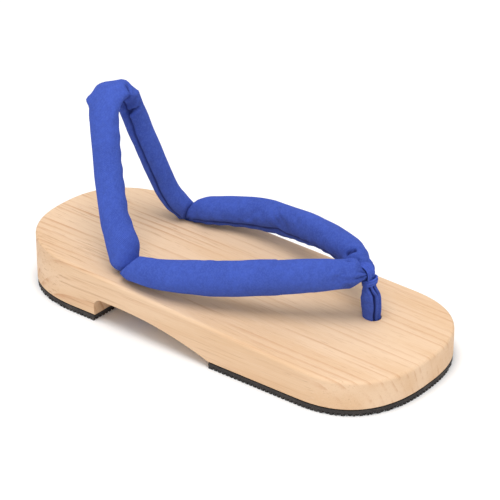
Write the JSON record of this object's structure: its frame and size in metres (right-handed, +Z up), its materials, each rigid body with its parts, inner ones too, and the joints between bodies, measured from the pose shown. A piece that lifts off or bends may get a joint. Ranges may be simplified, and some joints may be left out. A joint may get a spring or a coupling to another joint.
{
  "type": "geta sandal",
  "caption": "Low wooden geta sandal for the right foot, with a padded V thong, a padded strap behind the heel and ribbed rubber outsoles.",
  "frame": {"origin": "on the floor, under the middle of the base", "axes": "+Z up, the toe points to -Y, +X to the wearer's left, which is the big-toe side of this right sandal"},
  "size_m": [0.1016, 0.24, 0.1129],
  "materials": {
    "wood": "bare sanded softwood, straight grain along the foot",
    "rubber": "matt black, ribbed",
    "strap_fabric": "matt royal-blue cloth over padding"
  },
  "bodies": {
    "root": {"wooden_base": "wood", "heel_outsole": "rubber", "forefoot_outsole": "rubber", "thong_strap": "strap_fabric", "toe_post": "strap_fabric", "heel_strap": "strap_fabric"}
  },
  "joints": []
}
